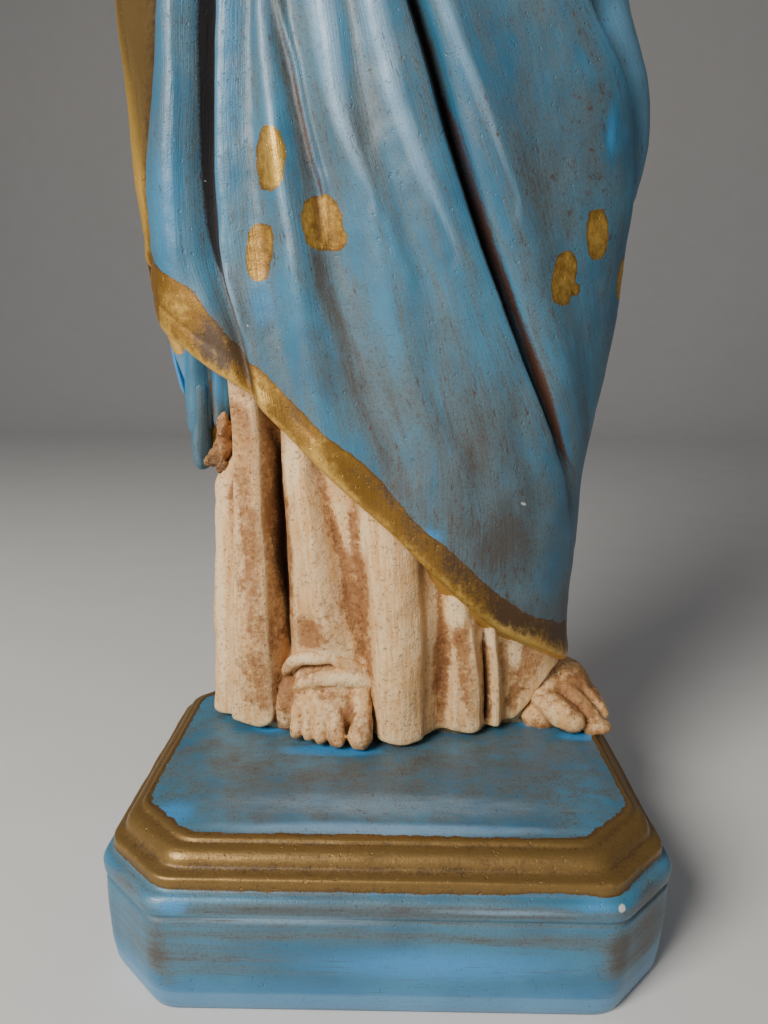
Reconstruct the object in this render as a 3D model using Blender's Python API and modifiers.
"""Painted plaster statue of Christ, cast in one piece with its octagonal plinth.

The figure stands at the back of the plinth in a long tunic. A mantle hangs from the shoulders, is
drawn across the front, and is gathered over the right forearm, so that its hem falls slantwise from
the right hip to the left foot.

Sizes in the tables are millimetres: +Z is up, the figure faces -Y, and the origin is the middle of
the plinth's underside. Round the figure an angle of 0 is the front and +90 is the figure's left side.
"""

import math

import bmesh
import bpy
import numpy as np
from mathutils import Matrix, Vector

NAME = "christ_statue"
MM = 0.001


class Turn(float):
    """An angle round the figure in degrees, where a plain number is a distance across the front."""


T = Turn

# Plinth: full size, corner chamfer and top.
PLINTH_WIDTH = 120.0
PLINTH_DEPTH = 96.0
PLINTH_TOP = 34.0
# The side's section from the bottom up: how far it stands in from the full size, its height, and how
# much of each corner is cut off.
PLINTH_SIDE = (
    (2.4, 0.0, 13.2), (1.5, 2.6, 13.4), (0.8, 9.0, 13.6), (0.4, 20.6, 13.8), (0.8, 21.6, 13.8), (0.2, 22.6, 13.9),
    (0.0, 24.6, 14.0), (0.5, 25.8, 13.9), (1.9, 27.0, 13.6), (2.0, 28.9, 13.5), (2.4, 29.3, 13.4),
    (3.2, 29.6, 13.2), (3.9, 30.1, 13.0), (4.1, 31.0, 13.0), (4.5, 31.9, 12.9), (5.3, 32.7, 12.7),
    (6.1, 33.0, 12.6), (6.5, 33.1, 12.5), (6.9, 33.7, 12.5), (7.6, PLINTH_TOP, 12.4), (8.6, PLINTH_TOP, 12.3),
)
# The moulding draws in further at the front and back: beyond this inset, by this share more.
PLINTH_LEAN = (2.2, 0.3)

WAIST = 262.0
COLLAR = 342.0
CHEST_DEPTH = 14.0
WELD = 0.01

# Half sizes of the draped body at each height: height, right side, left side, front, back.
MANTLE_MIDDLE = (-1.0, 15.0)
MANTLE_BODY = (
    (50, 47.0, 46.6, 20.5, 22.5),
    (64, 48.0, 46.2, 21.2, 22.8),
    (84, 49.5, 47.2, 22.0, 23.0),
    (98, 50.5, 47.8, 22.6, 23.0),
    (111, 51.5, 49.8, 23.2, 23.0),
    (130, 54.5, 52.4, 24.0, 23.2),
    (145, 57.0, 54.0, 24.8, 23.5),
    (165, 57.0, 55.2, 25.6, 24.0),
    (186, 55.3, 54.5, 26.0, 24.0),
    (209, 53.5, 51.5, 26.3, 24.0),
    (240, 55.0, 52.5, 26.0, 23.5),
    (262, 58.0, 56.0, 25.5, 23.0),
    (292, 52.0, 51.0, 25.0, 23.0),
    (314, 45.5, 45.0, 22.5, 21.5),
    (326, 37.0, 37.0, 18.0, 18.5),
    (334, 25.0, 25.0, 14.0, 15.5),
    (342, 14.5, 14.5, 11.0, 12.0),
)
TUNIC_MIDDLE = (0.5, 17.0)
TUNIC_BODY = (
    (30, 46.3, 44.0, 18.5, 17.0),
    (60, 45.8, 43.5, 19.0, 17.0),
    (98, 44.6, 43.0, 19.5, 17.5),
    (150, 46.0, 43.0, 20.0, 17.5),
)
BODICE_BODY = (
    (240, 38.0, 38.0, 17.0, 15.0),
    (270, 37.0, 37.0, 18.5, 15.5),
    (290, 38.0, 38.0, 20.5, 16.0),
    (305, 38.0, 38.0, 20.5, 16.0),
    (320, 33.0, 33.0, 17.5, 15.0),
    (330, 22.0, 22.0, 13.5, 13.0),
    (338, 12.5, 12.5, 11.0, 11.0),
    (350, 10.5, 10.5, 10.5, 10.5),
    (362, 10.0, 10.0, 10.0, 10.0),
)

# Mantle folds, once round the figure: name, place at each height, and relief at each height. A fold
# marked "chest" sinks behind the bodice above the waist.
MANTLE_FOLDS = (
    ("free edge", ((120, T(-99)), (165, T(-101)), (209, T(-102)), (262, T(-100)), (300, T(-88))),
     ((145, 3.0), (170, 7.4), (190, 11.4), (209, 15.4), (235, 14.0), (262, 7.0), (285, 2.0)), ""),
    ("edge groove", ((120, T(-91)), (209, T(-91)), (262, T(-90)), (300, T(-78))),
     ((145, -0.5), (170, -4.0), (209, -6.0), (240, -3.0), (262, 1.0), (285, 1.0)), ""),
    ("tube side", ((120, T(-79)), (209, T(-77)), (262, T(-78)), (300, T(-68))),
     ((125, -1.6), (145, -0.6), (165, -0.4), (185, -1.6), (209, -2.2), (240, -0.5), (262, 2.4), (290, 2.0)), ""),
    ("tube front", ((120, -49.0), (152, -49.8), (161, -49.4), (182, -48.0), (202, -46.9), (262, -46.0),
      (300, -38.0)),
     ((120, 1.6), (150, 2.2), (262, 2.6), (290, 0.5)), ""),
    ("crease brow", ((110, -33.5), (128, -37.0), (138, -40.8), (150, -44.8), (161, -45.4), (181, -44.4),
      (201, -43.5), (262, -41.0), (290, -33.0), (305, -28.0), (322, -19.5), (336, -11.5)),
     ((110, -0.6), (128, -1.4), (140, -1.0), (157, -0.8), (200, -0.8), (240, 0.6), (262, 2.2), (322, 2.2),
      (342, 1.5)), ""),
    ("right crease", ((110, -30.5), (128, -34.2), (138, -37.4), (150, -40.6), (161, -41.4), (181, -41.0),
      (201, -40.4), (262, -34.0)),
     ((110, -1.4), (120, -2.8), (128, -3.6), (140, -4.8), (157, -6.2), (199, -6.6), (250, -4.0)), "chest"),
    ("crease lip", ((110, -27.5), (128, -31.0), (138, -33.6), (147, -35.6), (157, -36.6), (199, -35.9),
      (262, -32.4)),
     ((110, 0.4), (135, 0.2), (157, 0.1), (199, 0.0), (262, -0.5)), "chest"),
    ("lip hollow", ((110, -21.5), (128, -24.6), (157, -29.2), (199, -30.2), (262, -31.4)),
     ((110, -0.4), (140, -1.4), (157, -1.9), (199, -2.2), (262, -1.5)), "chest"),
    ("second ridge", ((110, -15.2), (124, -17.7), (141, -19.9), (173, -24.5), (198, -26.8), (262, -30.2)),
     ((110, 0.8), (140, 1.2), (198, 0.9), (262, 0.4)), "chest"),
    ("second hollow", ((104, -0.2), (121, -6.1), (146, -12.2), (167, -16.3), (192, -21.5), (262, -29.0)),
     ((92, 0.0), (104, -1.2), (121, -2.4), (146, -2.8), (170, -2.2), (192, -1.4), (262, -1.0)), "chest"),
    ("broad ridge", ((100, 10.5), (134, 1.6), (160, -4.8), (176, -10.8), (196, -14.4), (262, -27.6)),
     ((96, 0.8), (134, 1.5), (188, 1.7), (262, 0.6)), "chest"),
    ("third hollow", ((90, 19.0), (120, 12.0), (140, 7.2), (163, -1.6), (182, -6.9), (196, -9.2),
      (262, -26.2)),
     ((90, 1.3), (128, 1.5), (150, 0.8), (188, 0.3), (262, -0.6)), "chest"),
    ("fourth ridge", ((80, 28.0), (110, 24.0), (140, 14.2), (153, 9.9), (165, 5.5), (183, -0.6),
      (196, -4.6), (262, -24.8)),
     ((80, 0.8), (110, 1.7), (130, 2.0), (155, 2.4), (196, 2.4), (262, 0.8)), "chest"),
    ("deep brow", ((60, T(70)), (96, 41.0), (108, 36.6), (116, 33.2), (127, 28.0), (140, 22.3),
      (153, 16.8), (173, 9.4), (185, 5.6), (196, 1.8), (262, -23.4)),
     ((80, 0.4), (110, 1.3), (140, 1.8), (196, 1.6), (262, 0.4)), "chest"),
    ("deep crease", ((60, T(77)), (96, 43.0), (108, 39.0), (116, 35.6), (127, 30.6), (140, 24.9),
      (153, 19.4), (173, 12.0), (185, 8.2), (196, 4.2), (262, -22.2)),
     ((86, 0.6), (98, -1.0), (115, -4.0), (130, -6.0), (196, -6.6), (250, -2.5)), "chest"),
    ("deep lip", ((60, T(83)), (96, 44.6), (108, 41.0), (116, 37.8), (127, 33.0), (140, 27.2), (153, 21.6),
      (173, 14.0), (185, 10.2), (196, 6.2), (262, -20.4)),
     ((84, 0.5), (110, 0.0), (141, 0.2), (196, 0.7), (262, 0.0)), "chest"),
    ("fifth ridge", ((60, T(92)), (98, T(76)), (127, 38.0), (141, 32.0), (158, 25.4), (169, 21.1),
      (181, 15.9), (196, 9.4), (262, -17.0)),
     ((84, 0.6), (127, 1.2), (158, 2.0), (196, 2.6), (262, 0.8)), "chest"),
    ("left panel", ((60, T(104)), (98, T(90)), (127, T(62)), (158, 37.0), (196, 26.0), (262, 6.0)),
     ((60, 0.6), (127, 0.0), (196, -0.4), (262, 0.4)), "chest"),
    ("panel edge", ((60, T(116)), (98, T(104)), (140, T(80)), (161, T(76)), (183, T(68)), (201, 38.5),
      (230, 34.0), (262, 36.0), (290, 33.0), (305, 28.0), (322, 19.5), (336, 11.5)),
     ((60, 0.6), (130, 1.0), (180, 1.8), (201, 1.2), (262, 1.8), (322, 2.2), (342, 1.5)), ""),
    ("side groove", ((60, T(124)), (98, T(113)), (140, T(90)), (161, T(84)), (183, T(75)), (201, T(52)),
      (262, T(56)), (300, T(62))),
     ((100, -0.5), (150, 0.0), (163, -2.5), (200, -2.6), (225, -0.6), (262, 0.4), (290, 0.5)), ""),
    ("side bag", ((60, T(133)), (98, T(124)), (140, T(102)), (163, T(94)), (183, T(90)), (201, T(74)),
      (262, T(78)), (300, T(76))),
     ((120, 0.4), (158, 0.2), (166, 3.2), (180, 5.0), (195, 2.8), (209, 0.8), (262, 3.0), (290, 2.0)), ""),
    ("bag back", ((60, T(144)), (98, T(136)), (165, T(110)), (209, T(100)), (262, T(98)), (300, T(92))),
     ((100, 0.2), (160, -1.0), (180, 1.5), (209, 0.6), (262, 0.5), (290, 0.5)), ""),
    ("back ridge 1", ((60, T(158)), (110, T(150)), (165, T(132)), (262, T(120)), (300, T(112))),
     ((60, 2.0), (262, 1.2), (314, 0.4)), ""),
    ("back groove 1", ((60, T(170)), (165, T(152)), (262, T(142)), (300, T(134))),
     ((60, -2.0), (262, -0.8), (314, 0.0)), ""),
    ("back ridge 2", ((60, T(184)), (165, T(172)), (262, T(165)), (300, T(160))),
     ((60, 2.2), (262, 1.2), (314, 0.4)), ""),
    ("back groove 2", ((60, T(198)), (165, T(192)), (262, T(188)), (300, T(186))),
     ((60, -1.8), (262, -0.8), (314, 0.0)), ""),
    ("back ridge 3", ((60, T(211)), (165, T(210)), (262, T(210)), (300, T(212))),
     ((60, 2.2), (262, 1.0), (314, 0.4)), ""),
    ("back groove 3", ((60, T(224)), (165, T(225)), (262, T(228)), (300, T(236))),
     ((60, -1.8), (262, -0.8), (314, 0.0)), ""),
    ("under edge", ((60, T(238)), (165, T(241)), (262, T(246)), (300, T(256))),
     ((60, 1.8), (209, 2.6), (262, 2.0), (290, 0.5)), ""),
    ("edge back", ((60, T(247)), (165, T(252)), (209, T(251)), (262, T(254)), (300, T(266))),
     ((100, 0.0), (150, 0.5), (170, 2.2), (190, 4.5), (209, 6.5), (235, 7.0), (262, 5.0), (285, 1.5)), ""),
)
# The mantle's hem once round: place and height.
MANTLE_HEM = (
    (T(-100), 149.5), (T(-84), 143.0), (-51.0, 133.0), (-46.4, 129.0), (-41.4, 125.0), (-34.8, 121.0),
    (-29.3, 116.5), (-23.3, 110.5), (-16.4, 104.0), (-8.9, 97.0), (-3.7, 92.3), (2.1, 87.0), (6.8, 82.3),
    (11.3, 77.8), (17.2, 72.0), (25.4, 65.2), (31.6, 60.8), (37.2, 57.4), (T(68), 54.4), (T(84), 52.0),
    (T(110), 52.5), (T(150), 58.0), (T(200), 73.0), (T(235), 94.0), (T(250), 108.0),
)

TUNIC_FOLDS = (
    ("side fold", ((60, T(-86)),), ((60, 0.6), (88, 0.4), (104, -4.6)), ""),
    ("side groove", ((40, T(-69)), (110, T(-63))), ((60, -2.0), (92, -2.4), (106, -4.8)), ""),
    ("tube left", ((41, -40.0), (81, -38.0), (118, -36.4)),
     ((40, -0.2), (60, 1.0), (90, 1.2), (110, 0.8)), ""),
    ("right tube", ((41, -35.8), (99, -35.6)), ((36, -0.6), (60, 1.6), (110, 2.8)), ""),
    ("tube right", ((46, -30.0), (70, -30.0), (99, -30.6)), ((36, -1.8), (60, 0.4), (110, 1.6)), ""),
    ("right crease", ((41, -28.2), (53, -28.0), (76, -28.2), (100, -28.8)), ((36, -7.4), (110, -5.6)), ""),
    ("crease side", ((41, -25.4), (58, -25.2), (77, -25.4), (100, -26.4)), ((36, -6.0), (110, -4.0)), ""),
    ("shin ridge", ((50, -15.5), (58, -15.6), (70, -18.0), (90, -20.0), (100, -21.5)),
     ((40, -4.6), (60, -3.4), (100, -2.6)), ""),
    ("shin hollow", ((54, -7.4), (67, -9.2), (80, -12.0), (92, -14.6), (110, -18.0)),
     ((40, -6.2), (100, -5.4)), ""),
    ("middle brow", ((38, -4.4), (44, -4.8), (68, -6.0), (84, -7.8), (110, -10.6)),
     ((40, -4.4), (100, -4.0)), ""),
    ("middle left", ((37, -2.6), (62, -3.4), (85, -5.0), (110, -7.8)), ((40, -0.8), (100, 0.2)), ""),
    ("middle tube", ((36, 3.0), (60, 1.8), (82, 0.4), (110, -2.0)), ((36, 1.0), (100, 1.6)), ""),
    ("middle right", ((38, 8.0), (57, 7.6), (72, 6.8), (110, 4.0)), ((40, -0.8), (100, 0.0)), ""),
    ("light hollow", ((45, 10.7), (66, 10.0), (110, 6.5)), ((40, -4.0), (100, -3.0)), ""),
    ("brown hollow", ((43, 14.4), (65, 13.6), (110, 9.0)), ((40, -6.0), (100, -4.6)), ""),
    ("left ridge", ((41, 21.8), (55, 20.6), (66, 18.4), (110, 13.0)),
     ((36, -3.0), (70, -1.4), (100, 0.0)), ""),
    ("left crease", ((38, 26.6), (49, 26.0), (59, 24.4), (110, 19.0)), ((36, -5.6), (70, -4.2)), ""),
    ("narrow ridge", ((38, 29.3), (49, 28.5), (60, 26.9), (110, 22.0)), ((36, -3.6), (70, -2.2)), ""),
    ("left hollow", ((35, 33.0), (44, 32.2), (56, 30.4), (110, 27.0)), ((36, -6.4), (70, -4.8)), ""),
    ("instep fold", ((36, 38.0), (53, 36.6), (110, 35.0)), ((36, -5.0), (50, -3.6), (70, -1.8)), ""),
    ("left side", ((60, T(82)),), ((40, 0.2), (70, 0.6)), ""),
    ("left groove", ((60, T(100)),), ((60, -1.6),), ""),
    ("back ridge 1", ((60, T(124)),), ((60, -0.6),), ""),
    ("back groove 1", ((60, T(148)),), ((60, -2.4),), ""),
    ("back ridge 2", ((60, T(172)),), ((60, 1.6),), ""),
    ("back groove 2", ((60, T(196)),), ((60, -2.0),), ""),
    ("back ridge 3", ((60, T(220)),), ((60, 1.6),), ""),
    ("back groove 3", ((60, T(246)),), ((60, -1.6),), ""),
)
# The tunic's bottom once round: it clears the right foot and rests on the plinth elsewhere.
TUNIC_HEM = (
    (T(-86), 35.0), (-40.0, 35.5), (-34.0, 35.0), (-30.5, 36.5), (-28.4, 42.0), (-25.0, 50.0), (-17.0, 54.0),
    (-11.0, 53.0), (-6.5, 49.5), (-4.4, 42.0), (-2.6, 35.5), (3.4, 34.6), (8.5, 35.2), (14.0, 35.4),
    (22.0, 34.8), (27.0, 35.4), (31.0, 35.4), (35.2, 35.6), (T(57), 37.5), (T(62), 40.5), (T(69), 45.7),
    (T(77), 49.4), (T(95), 50.5), (T(112), 47.0), (T(126), 39.5), (T(136), 35.4), (T(246), 35.0),
)

# Lobes of the mantle's back corner that hang below its hem at the right side: points and radii.
CORNER_LOBES = (
    (((-52.2, 24.0, 150.0), (-51.6, 24.0, 130.0), (-49.6, 23.0, 114.5)), (4.4, 4.2, 3.4)),
    (((-47.5, 21.0, 140.0), (-47.2, 20.5, 118.0), (-46.6, 19.5, 101.0)), (3.6, 3.8, 2.8)),
)

# Forearms, wrists and the roll of cloth at the waist: points and radii.
RIGHT_SLEEVE = (((-42.0, 15.0, 262.0), (-44.5, 1.5, 266.0), (-32.0, -6.5, 275.0), (-23.0, -9.5, 280.5)),
                (12.0, 12.5, 10.8, 9.0))
RIGHT_CUFF = (((-30.0, -7.5, 276.5), (-20.0, -10.0, 282.0), (-16.0, -10.5, 284.5)), (8.0, 7.6, 8.2))
RIGHT_WRIST = (((-24.0, -9.0, 279.5), (-15.0, -10.5, 285.0), (-8.0, -10.5, 289.5)), (5.0, 4.6, 4.6))
LEFT_SLEEVE = (((40.0, 15.0, 262.0), (43.5, 1.5, 261.0), (33.0, -6.5, 260.0), (27.0, -9.5, 260.0)),
               (12.0, 12.5, 10.8, 9.0))
LEFT_CUFF = (((34.0, -7.0, 260.0), (24.0, -10.5, 260.0), (20.0, -11.5, 260.0)), (8.0, 7.6, 8.2))
LEFT_WRIST = (((28.0, -9.0, 260.0), (18.0, -12.0, 260.0), (11.0, -13.0, 259.0)), (5.0, 4.6, 4.6))
WAIST_ROLL = (((-40.0, -6.0, 266.0), (-24.0, -8.5, 262.0), (-5.0, -9.0, 257.0), (16.0, -8.0, 254.0),
               (36.0, -1.0, 255.0)), (7.0, 7.5, 6.5, 6.0, 7.0))

# Hands: where the palm starts, where the fingers end, the way the back of the hand faces, and the
# side the thumb is on.
RIGHT_HAND = ((-8.5, -10.8, 289.2), (19.0, -9.0, 306.0), (0.0, -1.0, 0.15), 1.0)
LEFT_HAND = ((11.5, -13.2, 259.0), (-19.5, -13.0, 250.0), (0.0, -1.0, 0.1), 1.0)
HAND_WIDTH = 15.5

# Head: middle and radii of the masses that are fused together.
HEAD_MASSES = (
    ((0.0, 11.0, 379.0), (17.6, 20.0, 20.5)),
    ((0.0, 3.5, 369.0), (12.6, 14.6, 18.5)),
    ((0.0, -8.6, 380.0), (9.5, 3.2, 2.4)),
    ((-8.2, -4.6, 370.5), (4.2, 4.2, 4.6)),
    ((8.2, -4.6, 370.5), (4.2, 4.2, 4.6)),
    ((0.0, -11.6, 372.5), (1.7, 3.0, 6.6)),
    ((0.0, -12.8, 368.6), (2.7, 3.0, 2.3)),
    ((0.0, -9.3, 361.8), (4.6, 3.4, 2.2)),
    ((0.0, -4.6, 354.0), (9.8, 8.2, 8.6)),
    ((0.0, -7.0, 349.0), (6.0, 5.2, 6.8)),
    ((0.0, 14.5, 379.5), (20.6, 20.6, 20.4)),
    ((0.0, 21.5, 360.0), (19.6, 13.6, 33.0)),
    ((0.0, 15.5, 352.0), (10.5, 11.0, 20.0)),
)
HAIR_LOCKS = (
    (((-6.0, 4.0, 393.0), (-13.0, 1.5, 385.0), (-15.6, 3.0, 371.0), (-16.6, 6.0, 357.0), (-17.0, 5.0, 343.0),
      (-16.0, 0.5, 330.0)), (4.0, 5.8, 5.8, 6.6, 6.4, 3.6)),
    (((6.0, 4.0, 393.0), (13.0, 1.5, 385.0), (15.6, 3.0, 371.0), (16.6, 6.0, 357.0), (17.0, 5.0, 343.0),
      (16.0, 0.5, 330.0)), (4.0, 5.8, 5.8, 6.6, 6.4, 3.6)),
)

# The mantle's opening over the chest: half width at each height.
CHEST_OPENING = ((274, 31.0), (290, 29.0), (305, 24.0), (322, 16.0), (336, 9.0), (342, 6.0))
# How a hem is rounded: rise above it and step outward. Inside it turns in to rings at a share of the
# way out, which stand a drop above the hem or lie on the floor.
MANTLE_LIP = ((0.0, -0.9), (1.6, 0.5), (6.5, 0.6), (7.6, 0.0))
MANTLE_CORE = ((0.55, 3.0), (0.9, 1.2))
MANTLE_FLOOR = 50.0
TUNIC_LIP = ((0.0, -0.7), (1.2, 0.0))
TUNIC_CORE = ((0.6, None), (0.8, None))
TUNIC_FLOOR = 31.0
TUNIC_ROWS = 6
TUNIC_TOP = 150.0
BODICE_MIDDLE = (0.0, 15.5)
BODICE_ROWS = (240, 256, 272, 288, 304, 314, 322, 329, 336, 344, 352, 362)
BODICE_SIDES = 36

# How finely the soft forms are fused, and the share of their faces that is kept.
HAND_SKIN = (0.6, 0.03)
HEAD_SKIN = (1.0, 0.042)
RIGHT_FOOT_SKIN = (0.7, 0.05)
LEFT_FOOT_SKIN = (0.7, 0.055)
PAINT = ("blue_paint", (0.18, 0.36, 0.56), 0.55)

# Feet: middle and radii of the masses of each foot, with the toes last. The right foot points
# forward and the left is turned out.
RIGHT_FOOT = (
    ((-12.5, 13.0, 42.0), (10.0, 14.0, 9.0)),
    ((-13.0, 5.0, 38.0), (10.0, 9.0, 6.2)),
    ((-6.6, 1.4, 37.4), (3.4, 6.2, 3.9)),
    ((-11.6, 1.8, 36.8), (2.2, 5.2, 3.1)),
    ((-15.6, 2.8, 36.5), (2.1, 4.8, 2.9)),
    ((-19.0, 4.8, 36.2), (2.0, 4.4, 2.7)),
    ((-21.8, 7.4, 36.0), (2.0, 4.0, 2.5)),
)
LEFT_FOOT_TURN = 46.0
LEFT_FOOT_HEEL = (39.5, 18.5)
LEFT_FOOT = (
    ((0.0, -1.0, 43.0), (8.6, 10.5, 12.6)),
    ((0.2, -7.0, 39.0), (9.2, 9.5, 8.6)),
    ((-5.4, -14.4, 38.0), (3.7, 6.6, 5.0)),
    ((-0.8, -15.0, 37.4), (2.5, 5.8, 4.2)),
    ((3.2, -13.8, 37.0), (2.3, 5.2, 3.8)),
    ((6.4, -11.4, 36.6), (2.1, 4.6, 3.4)),
    ((8.8, -8.4, 36.3), (2.0, 4.0, 3.0)),
)

# Fineness of the faceted solid.
PER_FOLD = 2
SKIRT_ROWS = 13
SKIRT_TOP = 250.0
UPPER_ROWS = (262.0, 268.0, 278.0, 292.0, 305.0, 316.0, 326.0, 334.0, COLLAR)


def spline(points):
    """Return the smooth curve through (x, y) points that doesn't overshoot, level beyond its ends."""
    xs = np.array([float(p[0]) for p in points])
    ys = np.array([float(p[1]) for p in points])
    if len(xs) == 1:
        return lambda x: np.full(np.shape(x), ys[0])
    step = np.diff(xs)
    rise = np.diff(ys) / step
    slope = np.zeros(len(xs))
    a, b = rise[:-1], rise[1:]
    same = a * b > 0
    slope[1:-1][same] = 2.0 * a[same] * b[same] / (a[same] + b[same])

    def curve(x):
        x = np.clip(x, xs[0], xs[-1])
        i = np.clip(np.searchsorted(xs, x, side="right") - 1, 0, len(step) - 1)
        t = (x - xs[i]) / step[i]
        return hermite(ys[i], ys[i + 1], slope[i] * step[i], slope[i + 1] * step[i], t)

    return curve


def hermite(start, end, out_slope, in_slope, t):
    """Return the cubic from start to end with the given slopes."""
    return (start * (2 * t**3 - 3 * t**2 + 1) + out_slope * (t**3 - 2 * t**2 + t)
            + end * (3 * t**2 - 2 * t**3) + in_slope * (t**3 - t**2))


def between(before, start, end, after, t):
    """Return the curve from start to end that is level at each ridge and hollow."""
    a, b, c = start - before, end - start, after - end
    tiny = 1e-12
    out_slope = np.where(a * b > 0, 2.0 * a * b / np.where(np.abs(a + b) < tiny, 1.0, a + b), 0.0)
    in_slope = np.where(b * c > 0, 2.0 * b * c / np.where(np.abs(b + c) < tiny, 1.0, b + c), 0.0)
    return hermite(start, end, out_slope, in_slope, t)


class Body:
    """A body of four quarter ellipses at each height."""

    def __init__(self, middle, table):
        self.middle = middle
        self.right, self.left, self.front, self.back = (
            spline([(row[0], row[i]) for row in table]) for i in range(1, 5))

    def point(self, angle, height, relief):
        """Return points at an angle and height, standing out by the relief."""
        turn = np.radians(angle)
        s, c = np.sin(turn), np.cos(turn)
        wide = np.where(s < 0, self.right(height), self.left(height))
        deep = np.where(c > 0, self.front(height), self.back(height))
        nx, ny = deep * s, -wide * c
        long = np.hypot(nx, ny)
        return np.stack([self.middle[0] + wide * s + relief * nx / long,
                         self.middle[1] - deep * c + relief * ny / long, height + 0.0 * s], axis=-1)

    def angle(self, place, height):
        """Return the angle of a place, which is a Turn or a distance across the front."""
        if isinstance(place, Turn):
            return float(place)
        across = place - self.middle[0]
        wide = float(self.right(height) if across < 0 else self.left(height))
        return math.degrees(math.asin(max(-0.985, min(0.985, across / wide))))


class Drape:
    """Cloth round a body, with folds that each keep their own line."""

    def __init__(self, body, folds, hem, chest=None):
        self.body = body
        self.count = len(folds)
        inner = [i for i, fold in enumerate(folds) if fold[3] == "chest"]
        self.lines, self.reliefs = [], []
        for i, (_, places, reliefs, kind) in enumerate(folds):
            line = [(z, body.angle(place, z)) for z, place in places]
            if kind == "chest":
                share = (inner.index(i) + 1) / (len(inner) + 1)
                line += [(z, body.angle(x * (2 * share - 1), z)) for z, x in chest]
            self.lines.append(spline(line))
            self.reliefs.append((spline(reliefs), kind == "chest"))
        ends = [(body.angle(place, z), z) for place, z in hem]
        self.hem = spline(ends)
        self.hem_ends = (ends[-1][1], ends[0][1])

    def at(self, along, height):
        """Return the angle and the relief at a position along the folds and a height."""
        along, height = np.broadcast_arrays(np.asarray(along, float), np.asarray(height, float))
        angles = np.stack([line(height) for line in self.lines])
        for i in range(1, self.count):
            angles[i] = np.maximum(angles[i], angles[i - 1] + 0.7)
        sunk = np.minimum(CHEST_DEPTH, 0.6 * self.body.front(height))
        behind = np.clip((height - WAIST) / 6.0, 0.0, 1.0)
        reliefs = np.stack([
            relief(height) * (1 - behind) - sunk * behind if chest else relief(height)
            for relief, chest in self.reliefs])
        lower = np.floor(along).astype(int)
        share = along - lower

        def pick(table, shift, full):
            index = (lower + shift) % self.count
            laps = (lower + shift) // self.count
            return np.take_along_axis(table, index[None], axis=0)[0] + full * laps

        angle = between(*(pick(angles, k, 360.0) for k in (-1, 0, 1, 2)), share)
        relief = between(*(pick(reliefs, k, 0.0) for k in (-1, 0, 1, 2)), share)
        return angle, relief

    def hem_height(self, along):
        """Return the height at which each position meets the hem."""
        low, high = np.full(len(along), 30.0), np.full(len(along), 180.0)
        for _ in range(30):
            middle = (low + high) / 2
            over = middle > self.hem(self.at(along, middle)[0])
            high = np.where(over, middle, high)
            low = np.where(over, low, middle)
        closing = np.clip(along - (self.count - 1), 0.0, 1.0)
        last, first = self.hem_ends
        return np.where(closing > 0, last + (first - last) * closing, (low + high) / 2)

    def rows(self, per_fold, levels, lift):
        """Return rings of points from the hem up; each level is (share of the way up, or height)."""
        along = np.arange(self.count * per_fold) / per_fold
        hem = self.hem_height(along)
        rings = []
        for rise, step in lift:
            angle, relief = self.at(along, hem + rise)
            rings.append(self.body.point(angle, hem + rise, relief + step))
        for share, top in levels:
            height = hem + lift[-1][0] + (top - hem - lift[-1][0]) * share
            angle, relief = self.at(along, height)
            rings.append(self.body.point(angle, height, relief))
        return rings


def loft(name, rings, bottom=None, top=None):
    """Make a closed mesh through rings of points, fanned to a point at each end."""
    count = len(rings[0])
    points = [p for ring in rings for p in ring]
    faces = []
    for i in range(len(rings) - 1):
        for j in range(count):
            k = (j + 1) % count
            a, b = i * count + j, i * count + k
            faces += [(a, b, b + count), (a, b + count, a + count)]
    first = np.mean(rings[0], axis=0) if bottom is None else bottom
    last = np.mean(rings[-1], axis=0) if top is None else top
    points += [first, last]
    low, high = len(points) - 2, len(points) - 1
    start = (len(rings) - 1) * count
    for j in range(count):
        k = (j + 1) % count
        faces += [(low, k, j), (high, start + j, start + k)]
    return solid(name, points, faces)


def solid(name, points, faces):
    """Make an object from points in millimetres, with its faces turned outward."""
    mesh = bpy.data.meshes.new(name)
    mesh.from_pydata([tuple(float(c) * MM for c in p) for p in points], [], faces)
    work = bmesh.new()
    work.from_mesh(mesh)
    bmesh.ops.recalc_face_normals(work, faces=work.faces)
    work.to_mesh(mesh)
    work.free()
    return bpy.data.objects.new(name, mesh)


def tube(name, points, radii, roundness=4, steps=7):
    """Make a closed tube of changing radius along a smooth path, drawn in to rounded ends."""
    knots = np.array(points, float)
    at = np.arange(len(knots))
    ways = [spline(list(zip(at, knots[:, i]))) for i in range(3)]
    size = spline(list(zip(at, radii)))
    t = np.linspace(0, len(knots) - 1, steps)
    path = np.stack([way(t) for way in ways], axis=-1)
    radius = size(t)
    ahead = np.gradient(path, axis=0)
    ahead /= np.linalg.norm(ahead, axis=1)[:, None]
    first = [(path[0] - ahead[0] * radius[0] * c, radius[0] * s) for c, s in ((0.92, 0.4), (0.6, 0.8))]
    last = [(path[-1] + ahead[-1] * radius[-1] * c, radius[-1] * s) for c, s in ((0.6, 0.8), (0.92, 0.4))]
    stops = first + list(zip(path, radius)) + last

    curve = bpy.data.curves.new(name, "CURVE")
    curve.dimensions = "3D"
    curve.bevel_depth = MM
    curve.bevel_resolution = roundness
    curve.use_fill_caps = True
    route = curve.splines.new("POLY")
    route.points.add(len(stops) - 1)
    for point, (middle, r) in zip(route.points, stops):
        point.co = (*(float(c) * MM for c in middle), 1.0)
        point.radius = float(r)
    return as_mesh(name, bpy.data.objects.new(name, curve))


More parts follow.
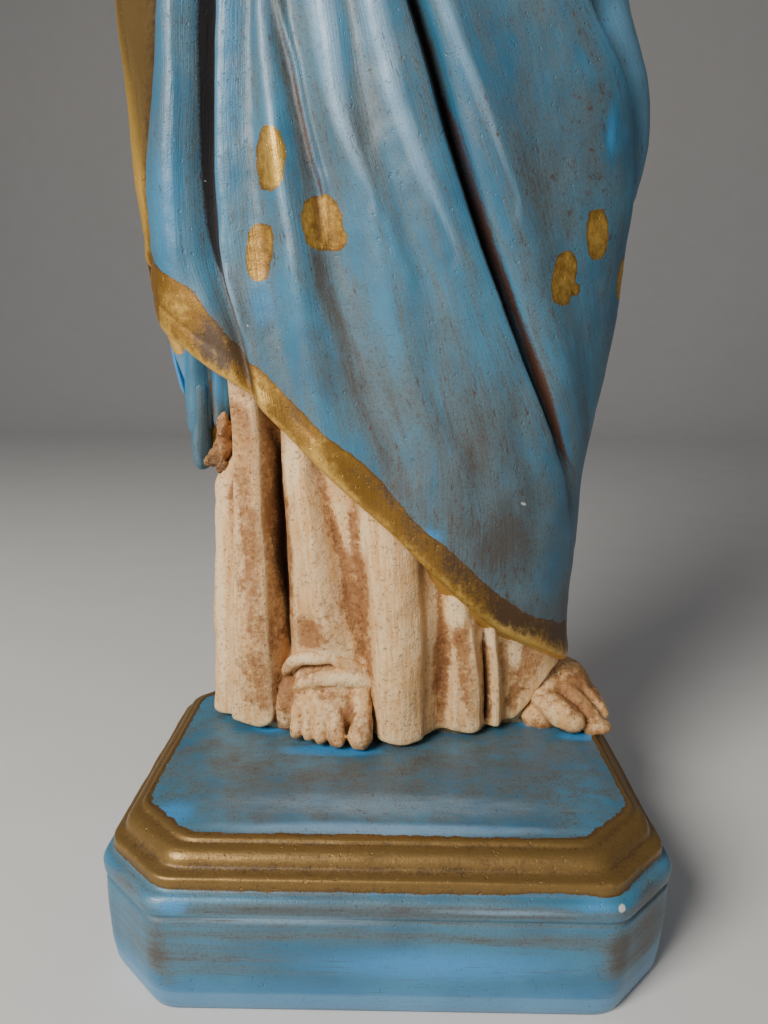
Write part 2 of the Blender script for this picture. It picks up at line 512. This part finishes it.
def as_mesh(name, item):
    """Turn a curve object into a closed mesh object and remove the curve."""
    bpy.context.scene.collection.objects.link(item)
    mesh = bpy.data.meshes.new_from_object(item.evaluated_get(bpy.context.evaluated_depsgraph_get()))
    mesh.name = name
    work = bmesh.new()
    work.from_mesh(mesh)
    bmesh.ops.remove_doubles(work, verts=work.verts, dist=WELD * MM)
    bmesh.ops.recalc_face_normals(work, faces=work.faces)
    work.to_mesh(mesh)
    work.free()
    bpy.data.objects.remove(item)
    return bpy.data.objects.new(name, mesh)


def masses(name, balls, turn=0.0, move=(0.0, 0.0)):
    """Join ellipsoids into one object: each is a middle and its radii, turned and moved in plan."""
    work = bmesh.new()
    for middle, radii in balls:
        place = (Matrix.Translation(Vector((move[0], move[1], 0.0)) * MM)
                 @ Matrix.Rotation(math.radians(turn), 4, "Z")
                 @ Matrix.Translation(Vector(middle) * MM)
                 @ Matrix.Diagonal(Vector((*radii, 1.0 / MM)) * MM))
        bmesh.ops.create_uvsphere(work, u_segments=20, v_segments=12, radius=1.0, matrix=place)
    mesh = bpy.data.meshes.new(name)
    work.to_mesh(mesh)
    work.free()
    return bpy.data.objects.new(name, mesh)


def join(name, objects):
    """Put the meshes of several objects into one object and remove them."""
    work = bmesh.new()
    for item in objects:
        work.from_mesh(item.data)
        bpy.data.objects.remove(item)
    mesh = bpy.data.meshes.new(name)
    work.to_mesh(mesh)
    work.free()
    return bpy.data.objects.new(name, mesh)


def fuse(item, voxel, share):
    """Melt overlapping shapes into one skin, smooth it and thin out its faces."""
    remesh = item.modifiers.new("Fuse", "REMESH")
    remesh.mode = "VOXEL"
    remesh.voxel_size = voxel * MM
    relax = item.modifiers.new("Relax", "SMOOTH")
    relax.factor = 0.5
    relax.iterations = 3
    thin = item.modifiers.new("Thin", "DECIMATE")
    thin.ratio = share
    return item


def hand(name, start, tips, back, thumb_side):
    """Make a flat hand: a palm, four fingers held together and a thumb."""
    start, tips, back = Vector(start), Vector(tips), Vector(back)
    ahead = tips - start
    long = ahead.length
    ahead.normalize()
    across = ahead.cross(back).normalized() * thumb_side
    back = across.cross(ahead).normalized() * thumb_side
    if back.y > 0:
        back = -back

    def place(forward, side, out):
        return tuple(start + ahead * (forward * long) + across * side + back * out)

    half = HAND_WIDTH / 2
    parts = []
    for i, (side, root, tip, radius) in enumerate((
            (-0.78, 0.10, 0.86, 2.1), (-0.28, 0.06, 0.97, 2.25), (0.24, 0.06, 1.0, 2.3), (0.76, 0.10, 0.93, 2.25))):
        low, high = side * half, side * half * 0.86
        parts.append(tube(f"{name}_finger{i}", (place(root, low * 0.8, 0.0), place(0.5, low, 1.1),
                                                place(0.76, high, 0.9), place(tip, high, -0.6)),
                          (3.2, radius + 0.5, radius, radius * 0.82), steps=6))
    parts.append(tube(f"{name}_thumb", (place(0.12, half * 0.7, 0.0), place(0.34, half * 1.35, -0.4),
                                        place(0.62, half * 1.55, -0.8)), (3.4, 2.7, 2.1), steps=5))
    parts.append(tube(f"{name}_palm", (place(0.0, 0.0, 0.0), place(0.3, 0.0, 0.4), place(0.46, 0.0, 0.6)),
                      (4.4, 4.2, 3.4), steps=5))
    return join(name, parts)


def plinth_outline(inset, cut):
    """Return the plan of the plinth at an inset: a rectangle with its corners cut off."""
    start, share = PLINTH_LEAN
    x, y = PLINTH_WIDTH / 2 - inset, PLINTH_DEPTH / 2 - inset - share * max(0.0, inset - start)
    return [(x, y - cut), (x - cut, y), (cut - x, y), (-x, y - cut),
            (-x, cut - y), (cut - x, -y), (x - cut, -y), (x, cut - y)]


def make_plinth():
    """Make the plinth: its outline drawn in and out up the moulding."""
    rings = [[(x, y, height) for x, y in plinth_outline(inset, cut)] for inset, height, cut in PLINTH_SIDE]
    return loft(NAME, rings, bottom=(0.0, 0.0, 0.0), top=(0.0, 0.0, PLINTH_TOP))


def make_drape(name, drape, levels, lift, core, floor):
    """Make a draped solid with a rolled hem that turns in to a core below."""
    rings = drape.rows(PER_FOLD, levels, lift)
    hem = rings[0]
    middle = np.array([*drape.body.middle, 0.0])
    inner = []
    for share, drop in core:
        ring = middle + (hem - middle) * share
        ring[:, 2] = np.maximum(hem[:, 2] + drop, floor) if drop is not None else floor
        inner.append(ring)
    bottom = (*drape.body.middle, float(np.mean(inner[0][:, 2])))
    return loft(name, inner + rings, bottom=bottom, top=(*drape.body.middle, float(rings[-1][0, 2]) + 2.0))


def body_rings(body, heights, sides):
    """Return plain rings of a body."""
    turn = np.arange(sides) * 360.0 / sides
    return [body.point(turn, np.full(sides, float(z)), np.zeros(sides)) for z in heights]


def material(name, colour, roughness, metallic=0.0):
    """Make a plain paint."""
    paint = bpy.data.materials.new(name)
    paint.use_nodes = True
    shader = paint.node_tree.nodes["Principled BSDF"]
    shader.inputs["Base Color"].default_value = (*colour, 1.0)
    shader.inputs["Roughness"].default_value = roughness
    shader.inputs["Metallic"].default_value = metallic
    return paint


def main():
    """Build the statue as one closed body."""
    for item in list(bpy.data.objects):
        bpy.data.objects.remove(item, do_unlink=True)
    shown = bpy.data.collections.new(NAME)
    joined = bpy.data.collections.new(NAME + "_joined_shapes")
    bpy.context.scene.collection.children.link(shown)
    bpy.context.scene.collection.children.link(joined)

    statue = make_plinth()
    shown.objects.link(statue)
    statue.data.materials.append(material(*PAINT))

    mantle_body = Body(MANTLE_MIDDLE, MANTLE_BODY)
    mantle = Drape(mantle_body, MANTLE_FOLDS, MANTLE_HEM, CHEST_OPENING)
    levels = [(i / SKIRT_ROWS, SKIRT_TOP) for i in range(1, SKIRT_ROWS + 1)]
    levels += [(1.0, z) for z in UPPER_ROWS]
    shapes = [make_drape("mantle", mantle, levels, MANTLE_LIP, MANTLE_CORE, MANTLE_FLOOR)]
    tunic = Drape(Body(TUNIC_MIDDLE, TUNIC_BODY), TUNIC_FOLDS, TUNIC_HEM)
    levels = [(i / TUNIC_ROWS, TUNIC_TOP) for i in range(1, TUNIC_ROWS + 1)]
    shapes.append(make_drape("tunic", tunic, levels, TUNIC_LIP, TUNIC_CORE, TUNIC_FLOOR))
    bodice = Body(BODICE_MIDDLE, BODICE_BODY)
    shapes.append(loft("bodice", body_rings(bodice, BODICE_ROWS, BODICE_SIDES)))
    for i, (points, radii) in enumerate(CORNER_LOBES):
        shapes.append(tube(f"corner_lobe_{i}", points, radii, steps=6))
    for name, (points, radii) in (("right_sleeve", RIGHT_SLEEVE), ("left_sleeve", LEFT_SLEEVE),
                                  ("waist_roll", WAIST_ROLL)):
        shapes.append(tube(name, points, radii, roundness=5, steps=8))
    for name, (points, radii) in (("right_cuff", RIGHT_CUFF), ("left_cuff", LEFT_CUFF)):
        shapes.append(tube(name, points, radii, roundness=5, steps=5))
    soft = [
        join("right_hand", [hand("right_hand_only", *RIGHT_HAND), tube("right_wrist", *RIGHT_WRIST)]),
        join("left_hand", [hand("left_hand_only", *LEFT_HAND), tube("left_wrist", *LEFT_WRIST)]),
    ]
    shapes += [fuse(item, *HAND_SKIN) for item in soft]
    head = join("head", [masses("skull", HEAD_MASSES)] + [tube(f"lock_{i}", *lock, roundness=5, steps=9)
                                                          for i, lock in enumerate(HAIR_LOCKS)])
    shapes.append(fuse(head, *HEAD_SKIN))
    shapes.append(fuse(masses("right_foot", RIGHT_FOOT), *RIGHT_FOOT_SKIN))
    shapes.append(fuse(masses("left_foot", LEFT_FOOT, LEFT_FOOT_TURN, LEFT_FOOT_HEEL), *LEFT_FOOT_SKIN))

    for shape in shapes:
        joined.objects.link(shape)
        shape.hide_render = True
        shape.display_type = "WIRE"
        union = statue.modifiers.new("Join " + shape.name, "BOOLEAN")
        union.operation = "UNION"
        union.solver = "EXACT"
        union.object = shape
    return statue


main()
